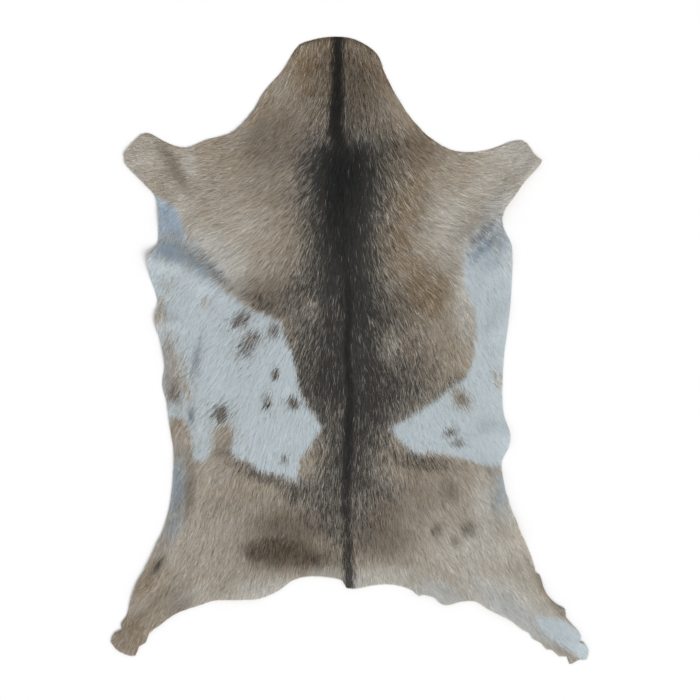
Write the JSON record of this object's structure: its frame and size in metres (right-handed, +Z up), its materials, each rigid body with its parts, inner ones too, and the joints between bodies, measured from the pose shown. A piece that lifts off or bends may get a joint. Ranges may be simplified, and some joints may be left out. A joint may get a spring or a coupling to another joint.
{
  "type": "goatskin rug",
  "caption": "Whole hair-on goatskin laid flat as a small rug, with neck, legs and rump in outline and soft folds at the armpits, flanks and groins.",
  "frame": {"origin": "on the floor under the middle of the skin's outline", "axes": "+X to the right as seen from above with the neck away, +Y towards the neck, +Z up through the coat"},
  "size_m": [0.7159, 0.9403, 0.0172],
  "materials": {
    "coat": "short, smooth goat hair lying flat: grey-tan with a black spine, salt-and-pepper back and white belly patches",
    "flesh_side": "tanned, buffed flesh side, matt and pale"
  },
  "bodies": {
    "root": {"hide": "coat"}
  },
  "joints": []
}
